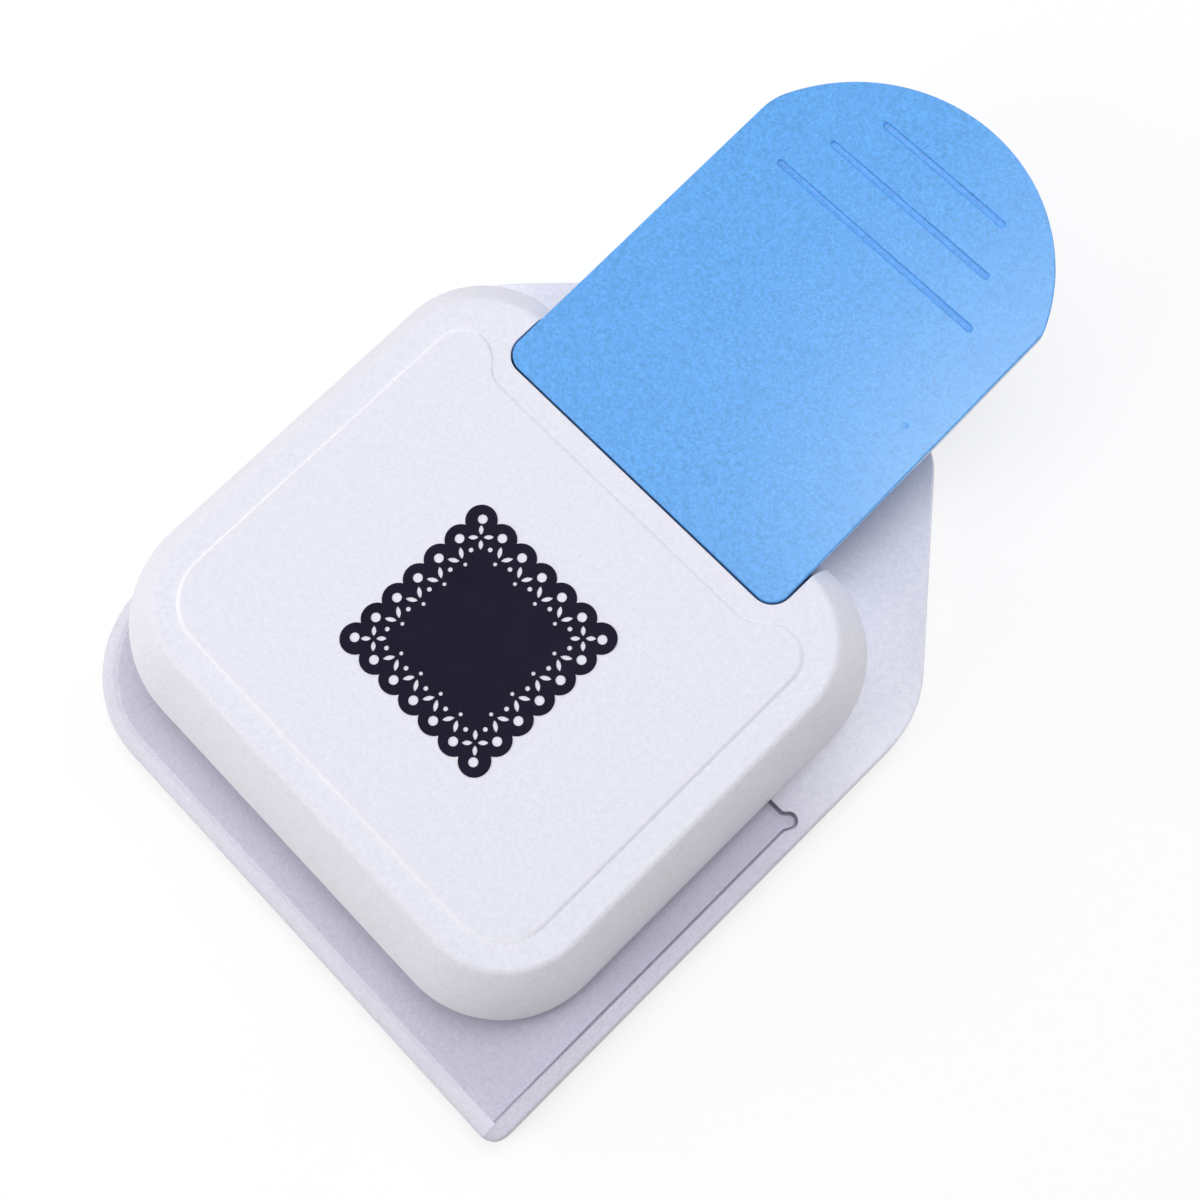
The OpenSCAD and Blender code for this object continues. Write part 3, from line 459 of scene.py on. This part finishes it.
def lineTool(b, line, path, width, lift):  # a narrow deep line along the foot of the fence or the stop
    rings, high = [], b["top"] + line["over"]
    for i, here in enumerate(path):
        along = Vector(path[min(i + 1, len(path) - 1)]) - Vector(path[max(i - 1, 0)])
        side = Vector((-along.y, along.x)).normalized()
        fade = min(max((line["shallowFrom"] - here[1]) / line["shallowLen"], 0), 1)  # at the fence's front end
        low = line["low"] + lift + (b["floor"] - line["low"]) * line["shallow"] * fade
        out, into = Vector(here) - side * (line["out"] + lift), Vector(here) + side * width
        rings.append([(*out, high), (*into, high), (*into, low), (*out, low)])
    return loft("lineTool", rings)


def makeRaised(b, corners):
    upper = solid("raisedLevel", rounded(corners, 14), b["raisedLow"], b["top"])
    pick(upper, "EDGE", lambda p: all(abs(v.z - b["top"]) < hair for v in p))
    rounding(b["rim"])
    far = b["outside"]
    sunk = [(far, far), (b["fenceX"], far)] + stopPath(b) + [(far, b["stopY"])]
    work(upper, solid("sunkTool", sunk, b["sunkLow"], b["sunkHigh"]))
    for d in b["fadeCuts"]:
        pick(upper, "FACE", lambda p: True)
        bpy.ops.mesh.bisect(plane_co=planSeat @ Vector((0, d - b["front"], 0)), plane_no=(0, 1, 0))
        bpy.ops.object.mode_set(mode="OBJECT")
    reach, low = b["fadeLen"], b["raisedLow"]
    for vert in upper.data.vertices:  # the fence sinks into the lip at its front end
        place = toPlan @ vert.co
        d = place.y + b["front"]
        if d < reach and place.z > low + hair:
            drop = reach - math.sqrt(reach ** 2 - (reach - max(d, 0)) ** 2)
            vert.co = planSeat @ Vector((place.x, place.y, place.z - drop * (place.z - low) / (b["top"] - low)))
    return upper


def makeBase(b, line, u):
    corners = baseCorners(b)
    shell = loft("baseShell", [[(x, y, z) for x, y in rounded(movedIn(corners, d), 14)] for d, z in b["edge"]])
    work(shell, makeRaised(b, corners), "UNION")
    work(shell, solid("reliefTool", stopPath(b), b["floor"], b["top"] + 1))  # no lip inside the relief
    fencePath = [(b["fenceX"], y) for y in line["fenceY"]]
    cornerPath = [(b["fenceX"], line["stopFrom"])] + stopPath(b) + [(line["stopEnd"], b["stopY"])]
    work(shell, lineTool(b, line, fencePath, line["fenceWidth"], 0.0))
    work(shell, lineTool(b, line, cornerPath, line["stopWidth"], line["stopLift"]))
    hollow = solid("hollowTool", rounded(movedIn(corners, u["wall"]), 10), 0.0, b["floor"] - u["skin"])
    work(hollow, solid("tub", dieLoop(dieForm, u["tubRoom"]), u["below"], u["over"]))
    for x, y in screwSpots:
        work(hollow, rod("column", x, y, u["columnR"], u["below"], u["over"]))
    for x, y in footSpots:
        work(hollow, rod("column", x, y, u["footColumnR"], u["below"], u["over"]))
    work(shell, hollow)
    work(shell, solid("tubTool", dieLoop(dieForm, u["tubCut"]), 0.0, u["tubUp"]))
    work(shell, solid("pocketTool", dieLoop(dieForm, u["pocketRoom"]), u["pocketLow"], u["clear"]))
    work(shell, solid("outletTool", outletLoop(outletForm), 0.0, u["over"]))
    for x, y in screwSpots:
        work(shell, rod("screwTool", x, y, u["screwR"], 0.0, u["clear"], 24))
        work(shell, rod("headTool", x, y, u["headR"], 0.0, u["headUp"], 32))
    for x, y in footSpots:
        work(shell, rod("seatTool", x, y, u["seatR"], 0.0, u["seatUp"], 48))
    tidyNormals(shell, 0.003)
    return shell


base = makeBase(baseForm, lineForm, underForm)
dress(base, "frame", "base_plastic", "base")
base.data.materials.append(finishes["base_floor_tone_and_painted_shade"])  # floor and lip get copies of the base plastic with tones matched to the photo: the floor partly its own darker tone and partly painted shade, the lip painted shade and painted light
base.data.materials.append(finishes["base_lip_painted_shading"])
# flat floor faces get the darker copy, lip faces the lip copy: painted shade and painted light
for face in base.data.polygons:
    place, rise = toPlan @ face.center, face.normal.z
    sunk = place.x < baseForm["fenceX"] and place.y < baseForm["stopY"]
    if rise > 0.99 and abs(place.z - baseForm["floor"]) < hair:
        face.material_index = 1
    elif rise > 0.2 and baseForm["lip"][0] < place.z < baseForm["lip"][1] and sunk:
        face.material_index = 2

# rubber feet: one round pad with a sunk ring below, copied to the four seats

footForm = dict(radius=5.5, height=2.6, edge=0.7, sides=48, insets=((1.3, 0.0), (0.3, -0.4), (0.8, 0.0), (0.3, 0.4)))


def makeFeet(f):
    freshStart()
    bpy.ops.mesh.primitive_cylinder_add(vertices=f["sides"], radius=f["radius"] * mm, depth=f["height"] * mm,
                                        location=planSeat @ Vector((*footSpots[0], f["height"] / 2)))
    first = named("feet")
    pick(first, "EDGE", lambda p: all(v.z < hair for v in p))
    rounding(f["edge"])
    pick(first, "FACE", lambda p: all(v.z < hair for v in p))
    for width, depth in f["insets"]:
        bpy.ops.mesh.inset(thickness=width * mm, depth=depth * mm)
    bpy.ops.object.mode_set(mode="OBJECT")
    feet = [first]
    for x, y in footSpots[1:]:
        other = first.copy()
        other.data = first.data.copy()
        bpy.context.scene.collection.objects.link(other)
        other.data.transform(Matrix.Translation(Vector((x - footSpots[0][0], y - footSpots[0][1], 0)) * mm))
        feet.append(other)
    return joined(feet)


dress(makeFeet(footForm), "frame", "rubber", "rubber_feet")

# cover: a shell with walls that swell towards the foot, notched for the lever

coverForm = dict(flat=(-56.4, 56.9, -50.7, 50.7), foot=(-65.2, 62.4, -60.7, 58.1), low=11.0, top=38.0, cornerR=18.6,
                 footR=(26.0, 24.0, 22.0, 22.0), edge=0.8, wall=2.4, roof=35.4, rows=14, innerRows=8, crowd=1.3,
                 bossR=4.0, bossOver=0.6, screwR=1.45, screwUp=26, notchHalf=38.8, notchFront=39.75, notchBack=90,
                 notchR=4.8, notchLow=19.25, notchHigh=50, notchEdge=0.25)
panelForm = dict(side=50.8, front=-45.4, back=35.05, earBack=40.05, frontR=11.5, earR=6.3, sweep=10.5, low=37.0,
                 slope=((0.0, 37.96), (0.15, 38.06), (0.35, 38.2), (0.55, 38.32), (0.72, 38.38), (0.95, 38.4)),
                 seatRoom=0.02, seatHigh=45)


def panelLoop(p, grow=0.0, steps=14):
    side, front, back, earBack = p["side"] + grow, p["front"] - grow, p["back"] + grow, p["earBack"] + grow
    rise, earX = earBack - back, side - p["earR"]
    bowR = ((p["sweep"] / 2) ** 2 + (rise / 2) ** 2) / rise

    def bow(u):
        return bowR - math.sqrt(bowR ** 2 - u ** 2)

    half = arc(side - p["frontR"], front + p["frontR"], p["frontR"], -90, 0, steps)
    half += arc(earX, earBack - p["earR"], p["earR"], 0, 90, 10)
    for i in range(1, steps + 1):  # a double bow from the ear to the back edge
        u = p["sweep"] * i / steps
        left = p["sweep"] - u
        half.append((earX - u, back + (bow(left) if left < p["sweep"] / 2 else rise - bow(u))))
    return half + [(-x, y) for x, y in reversed(half)]


def coverRing(c, z, margin=0.0):
    t = (c["top"] - z) / (c["top"] - c["low"])
    swell = 1 - (1 - t) ** 3
    left, right, front, back = [a + (b - a) * swell for a, b in zip(c["flat"], c["foot"])]
    left, right, front, back = left + margin, right - margin, front + margin, back - margin
    spots = ((left, front), (right, front), (right, back), (left, back))
    corners = [(x, y, c["cornerR"] + (r - c["cornerR"]) * swell - margin) for (x, y), r in zip(spots, c["footR"])]
    return [(x, y, z) for x, y in rounded(corners, 18)]


def makeCover(c, p):
    high, inner, rows = c["top"] - c["low"], c["roof"] - c["low"], c["rows"]
    rings = [coverRing(c, c["top"] - high * (i / rows) ** c["crowd"]) for i in range(rows + 1)]
    rings += [coverRing(c, c["low"] + inner * i / c["innerRows"], c["wall"]) for i in range(c["innerRows"] + 1)]
    cover = loft("cover", rings)
    pick(cover, "EDGE", lambda q: all(abs(v.z - c["top"]) < hair for v in q))
    rounding(c["edge"])
    for x, y in screwSpots:
        work(cover, rod("boss", x, y, c["bossR"], c["low"], c["roof"] + c["bossOver"], 32), "UNION")
        work(cover, rod("screwTool", x, y, c["screwR"], c["low"] - 1, c["screwUp"], 24))
    wide, front, back = c["notchHalf"], c["notchFront"], c["notchBack"]
    notch = [(-wide, front, c["notchR"]), (wide, front, c["notchR"]), (wide, back, 0), (-wide, back, 0)]
    work(cover, solid("notchTool", rounded(notch, 8), c["notchLow"], c["notchHigh"]))
    pick(cover, "EDGE", lambda q: all(abs(v.z - c["top"]) < hair and abs(v.x) < wide + 2 * hair
                                      and v.y > front - 2 * hair for v in q))
    rounding(c["notchEdge"], 3)
    work(cover, solid("seatTool", panelLoop(p), p["low"] - p["seatRoom"], p["seatHigh"]))
    return cover


def makePanel(p):  # raised, with a soft slope all round
    rings = [[(x, y, p["low"]) for x, y in panelLoop(p)]]
    return loft("topPanel", rings + [[(x, y, z) for x, y in panelLoop(p, -d)] for d, z in p["slope"]])


dress(makeCover(coverForm, panelForm), "frame", "cover_plastic", "housing", 30)
panel = makePanel(panelForm)
dress(panel, "frame", "cover_plastic", "top_panel", 40)
panel.data.materials.append(finishes["panel_edge_painted_highlight"])  # painted highlight: a paler slope at the front and the left, matched to the photo
# slope faces that face the front or the left get the painted highlight
for face in panel.data.polygons:
    if 0.4 < face.normal.z < 0.99 and min(face.normal.x, face.normal.y) < -0.1:
        face.material_index = 1

# label: a scalloped square of dark print, pierced with eyelets, leaf pairs and dots, its middle bare

labelForm = dict(x=1.4, y=-4.6, width=40.8, lobes=7, lobeShare=0.56, low=38.405, thick=0.16, eyeR=1.0, eyeOut=0.35,
                 leafAside=1.05, leafIn=2.05, leafLen=2.5, leafWide=0.95, leafLean=34, dotIn=4.35, dotR=0.42,
                 beadIn=3.0, beadR=0.5, starIn=2.5, starReach=1.55, starLen=2.1)


def leaf(x, y, length, width, turn, steps=7):
    side = [(length * (i / steps - 0.5), width / 2 * math.sin(math.pi * i / steps) ** 0.8) for i in range(steps + 1)]
    ring = side + [(u, -v) for u, v in reversed(side[1:-1])]
    c, s = math.cos(math.radians(turn)), math.sin(math.radians(turn))
    return [(x + u * c - v * s, y + u * s + v * c) for u, v in ring]


def labelSide(l):  # outline and holes of the top side, which the other three repeat
    n, lobe = l["lobes"], l["lobeShare"] * l["width"] / l["lobes"]
    reach = l["width"] / 2 - lobe
    pitch = 2 * reach / (n - 1)
    dip = math.degrees(math.acos(pitch / 2 / lobe))
    side, holes = [], []
    for i in range(n):  # the first and the last lobe turn a corner
        first, last = (180 - dip if i else 135), (dip if i < n - 1 else 45)
        side += arc(-reach + i * pitch, reach, lobe, first, last, 12)
    for i in range(n - 1):
        holes.append(ringOf(-reach + i * pitch, reach + l["eyeOut"], l["eyeR"], 16))
        mid = -reach + (i + 0.5) * pitch
        if 0 < i < n - 2:
            for lean in (-1, 1):
                holes.append(leaf(mid + lean * l["leafAside"], reach - l["leafIn"], l["leafLen"], l["leafWide"],
                                  90 - lean * l["leafLean"]))
            holes.append(ringOf(mid, reach - l["dotIn"], l["dotR"], 10))
    for i in range(1, n - 1):
        holes.append(ringOf(-reach + i * pitch, reach - l["beadIn"], l["beadR"], 12))
    for way in (45, 135, 225, 315):  # four leaves inside the corner
        u, v = math.cos(math.radians(way)), math.sin(math.radians(way))
        holes.append(leaf(-reach + l["starIn"] + l["starReach"] * u, reach - l["starIn"] + l["starReach"] * v,
                          l["starLen"], l["leafWide"], way))
    return side[:-1], holes


def makeLabel(l):
    side, holes = labelSide(l)
    outer, rings = [], []
    for turn in range(4):
        c, s = math.cos(-math.pi / 2 * turn), math.sin(-math.pi / 2 * turn)

        def turned(points):
            return [(x * c - y * s, x * s + y * c) for x, y in points]

        outer += turned(side)
        rings += [turned(hole) for hole in holes]
    freshStart()
    bpy.ops.curve.primitive_bezier_circle_add()
    drawing = bpy.context.active_object
    drawing.data.splines.clear()
    drawing.data.dimensions, drawing.data.fill_mode = "2D", "BOTH"
    drawing.data.extrude = l["thick"] / 2
    for ring in [outer] + rings:
        spline = drawing.data.splines.new("POLY")
        spline.points.add(len(ring) - 1)
        for point, (x, y) in zip(spline.points, ring):
            point.co = (x, y, 0, 1)
        spline.use_cyclic_u = True
    bpy.ops.object.convert(target="MESH")
    label = bpy.context.active_object
    label.data.transform(planSeat @ Matrix.Translation((l["x"], l["y"], l["low"] + l["thick"] / 2)))
    label = named("laceLabel")
    tidyNormals(label)
    return label


dress(makeLabel(labelForm), "frame", "label_print", "top_label", 30)

# lever: a wide blade with a round end, hollow below, three finger grooves on top

leverForm = dict(front=40.2, top=38.0, tilt=4.5, half=38.4, taper=1.1, taperShare=0.75, length=102.6, endR=40.7,
                 endSkip=4, cornerR=4.2, kinkR=(5.5, 13.0), grooves=3, grooveFirst=68.5, groovePitch=10.3,
                 grooveLen=54.5, grooveEnds=2.2, grooveR=0.86, grooveUp=0.22, dimple=(30.8, 45.2, 2.36), dimpleR=2.5,
                 edge=((0.4, 0.0), (0.25, -0.03), (0.12, -0.12), (0.03, -0.25), (0.0, -0.4), (0.0, -2.4), (0.2, -2.9),
                       (1.4, -9.0), (3.4, -9.0), (2.5, -3.3), (2.9, -3.0)))
leverUnder = dict(roof=-2.4, bossX=(-7, 7), bossY=(15, 47), bossR=3.5, bossLow=-4.6, ribLow=-6.2,
                  ribs=((-27, -25.4, 1, 84), (25.4, 27, 1, 84), (-36, 36, 58, 59.6), (-33, 33, 80, 81.6)),
                  fork=(-15.3, 15.3, -0.6, 2.8, -9.6, -4.3))
leverSeat = planSeat @ Matrix.Translation((0, leverForm["front"], leverForm["top"])) @ Matrix.Rotation(
    math.radians(leverForm["tilt"]), 4, "X")


def leverLoop(l, margin=0.0, steps=48, leastR=0.6):
    r, y = l["endR"] - margin, l["length"] - l["endR"]
    w = l["half"] - margin - l["taper"] * l["taperShare"]
    lift = math.asin(math.sqrt(r ** 2 - w ** 2) / r)
    start = math.degrees(lift)
    corner, wide = max(l["cornerR"] - margin, leastR), l["half"] - margin
    kinkRight, kinkLeft = [kink - margin for kink in l["kinkR"]]
    kinkY = y + r * math.sin(lift)
    end = arc(0, y, r, start + l["endSkip"], 180 - l["endSkip"] - start, steps)
    return rounded([(-wide, margin, corner), (wide, margin, corner), (w, kinkY, kinkRight)]
                   + [(*point, 0) for point in end] + [(-w, kinkY, kinkLeft)], 8)


def ballTool(name, radius, place, ringCount, stretch=0.0):  # a ball over the blade, drawn out sideways for a groove
    freshStart()
    bpy.ops.mesh.primitive_uv_sphere_add(segments=32, ring_count=ringCount, radius=radius * mm)
    ball = named(name)
    for vert in ball.data.vertices:
        vert.co.x += math.copysign(stretch, vert.co.x) * mm if abs(vert.co.x) > 1e-7 else stretch * mm
    ball.data.transform(leverSeat @ Matrix.Translation(place) @ Matrix.Scale(1 / mm, 4))
    return ball


def makeLever(l, u):
    lever = loft("lever", [[(x, y, z) for x, y in leverLoop(l, d)] for d, z in l["edge"]], leverSeat)
    for i in range(l["grooves"]):
        stretch = (l["grooveLen"] - i * l["groovePitch"] - l["grooveEnds"]) / 2
        place = (0, l["grooveFirst"] + i * l["groovePitch"], l["grooveUp"])
        work(lever, ballTool("grooveTool", l["grooveR"], place, 16, stretch))
    work(lever, ballTool("dimpleTool", l["dimpleR"], l["dimple"], 24))
    for x in u["bossX"]:
        for y in u["bossY"]:
            work(lever, rod("boss", x, y, u["bossR"], u["bossLow"], u["roof"], 32, leverSeat), "UNION")
    for rib in u["ribs"]:
        work(lever, block("rib", *rib, u["ribLow"], u["roof"], leverSeat), "UNION")
    work(lever, block("forkTool", *u["fork"], leverSeat))
    return lever


dress(makeLever(leverForm, leverUnder), "lever", "lever_plastic", "lever_handle", 30)

# return springs: a coil round each guide post, which closes up as the punch set comes down

springForm = dict(x=34.0, front=-38.0, back=24.0, radius=4.1, wire=0.45, turns=4, low=13.42, high=22.28, foot=13.3,
                  keep=0.55)


def makeCoil(s, x, y, perTurn=24, sides=12):
    steps = perTurn * s["turns"]
    rise = s["high"] - s["low"] - 2 * s["wire"]
    rings = []
    for i in range(steps + 1):
        t, turn = i / steps, 2 * math.pi * i / perTurn
        out = Vector((math.cos(turn), math.sin(turn), 0))
        up = s["low"] + s["wire"] + rise * t * t * (3 - 2 * t)  # both ends lie nearly flat
        centre = Vector((x, y, up)) + out * s["radius"]
        rings.append([centre + out * u + Vector((0, 0, v)) for u, v in ringOf(0, 0, s["wire"], sides)])
    return loft("springs", rings)


springs = joined([makeCoil(springForm, x, y) for x in (-springForm["x"], springForm["x"])
                  for y in (springForm["front"], springForm["back"])])
dress(springs, "frame", "spring_steel", "return_springs", 60)
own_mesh(springs)

# stage, light and camera

viewForm = dict(place=(80.837, -27.462, 362.012), lens=50.787, sensor=36, right=(0.698599, 0.713972, -0.046948),
                up=(-0.685857, 0.686895, 0.240366), back=(0.203863, -0.13572, 0.969546))
bpy.context.scene.view_settings.view_transform = "Standard"
camera = bpy.data.objects.new("camera", bpy.data.cameras.new("camera"))
bpy.context.scene.collection.objects.link(camera)
camera.data.lens, camera.data.sensor_width = viewForm["lens"], viewForm["sensor"]
camera.matrix_world = Matrix.Translation(planSeat @ Vector(viewForm["place"])) @ Matrix(
    (viewForm["right"], viewForm["up"], viewForm["back"])).transposed().to_4x4()
bpy.context.scene.camera = camera

# the floor looks white, and sends a warm light back up to the walls
floorForm = dict(size=6, cloud=900, bounce=((0.93, 0.89, 0.84), (0.94, 0.90, 0.85)), seen=(0.3, 0.3, 0.3),
                 near=(0.72, 0.72, 0.72), far=(1, 1, 1), fade=(0.5, 1.5))
freshStart()
bpy.ops.mesh.primitive_plane_add(size=floorForm["size"])
floor = named("floor")
pale = newFinish("paleFloor")
looked = pale.looked()
distance = pale.add("ShaderNodeVectorMath", {"operation": "LENGTH"}, {0: pale.here()}, "Value")
glow = pale.mix(pale.ramp(distance, *floorForm["fade"]), floorForm["near"], floorForm["far"])  # paler far off
bounce = pale.mix(pale.noise(floorForm["cloud"]), *floorForm["bounce"])
floor.data.materials.append(pale.close({
    "Base Color": pale.mix(looked, bounce, floorForm["seen"]), "Emission Color": pale.mix(looked, (0, 0, 0), glow),
    "Emission Strength": 1.0, "Roughness": 0.9, "Specular IOR Level": 0.0}))

studioForm = dict(light=(0.08, 0.08, 0.084), seen=(1, 1, 1))
bpy.context.scene.world = bpy.data.worlds.new("studio")
studio = Finish(bpy.context.scene.world)
studio.close({"Color": studio.mix(studio.looked(), studioForm["light"], studioForm["seen"])}, "Background")

cool, white, fair, warm = (0.98, 0.99, 1.04), (1.0, 1.0, 1.0), (1.0, 0.99, 1.0), (1.0, 0.955, 0.9)
lamps = [dict(name="overLamp", place=(-90, 0, 900), size=0.6, power=2.05, colour=cool, sheen=False),
         dict(name="sheenLamp", place=(22, 295, 1000), size=0.3, power=2.0, colour=white, sheen=True),
         dict(name="edgeLamp", place=(-192, -550, 580), size=0.3, power=1.35, colour=(1.0, 0.99, 0.99), sheen=True),
         dict(name="cornerLamp", place=(-520, -520, 230), size=0.45, power=1.35, colour=warm, sheen=True),
         dict(name="leftLamp", place=(-620, 60, 420), size=0.45, power=0.9, colour=fair, sheen=False),
         dict(name="frontRightLamp", place=(520, -520, 260), size=0.45, power=0.35, colour=(1.0, 0.96, 0.91),
              sheen=True),
         dict(name="rightLamp", place=(760, 0, 330), size=0.45, power=0.35, colour=(1.0, 0.95, 0.89), sheen=True),
         dict(name="backLamp", place=(100, 750, 650), size=0.5, power=2.0, colour=cool, sheen=True),
         dict(name="backRightLamp", place=(600, 520, 600), size=0.5, power=0.6, colour=fair, sheen=True)]
lampAim = planSeat @ Vector((0, 10, 20))
for l in lamps:
    lamp = bpy.data.objects.new(l["name"], bpy.data.lights.new(l["name"], "AREA"))
    bpy.context.scene.collection.objects.link(lamp)
    lamp.data.size, lamp.data.energy, lamp.data.color = l["size"], l["power"], l["colour"]
    lamp.visible_glossy = l["sheen"]  # a lamp without sheen lights the plastic and leaves no glare on it
    start = planSeat @ Vector(l["place"])
    lamp.matrix_world = Matrix.Translation(start) @ (lampAim - start).to_track_quat("-Z", "Y").to_matrix().to_4x4()
print("stage set")
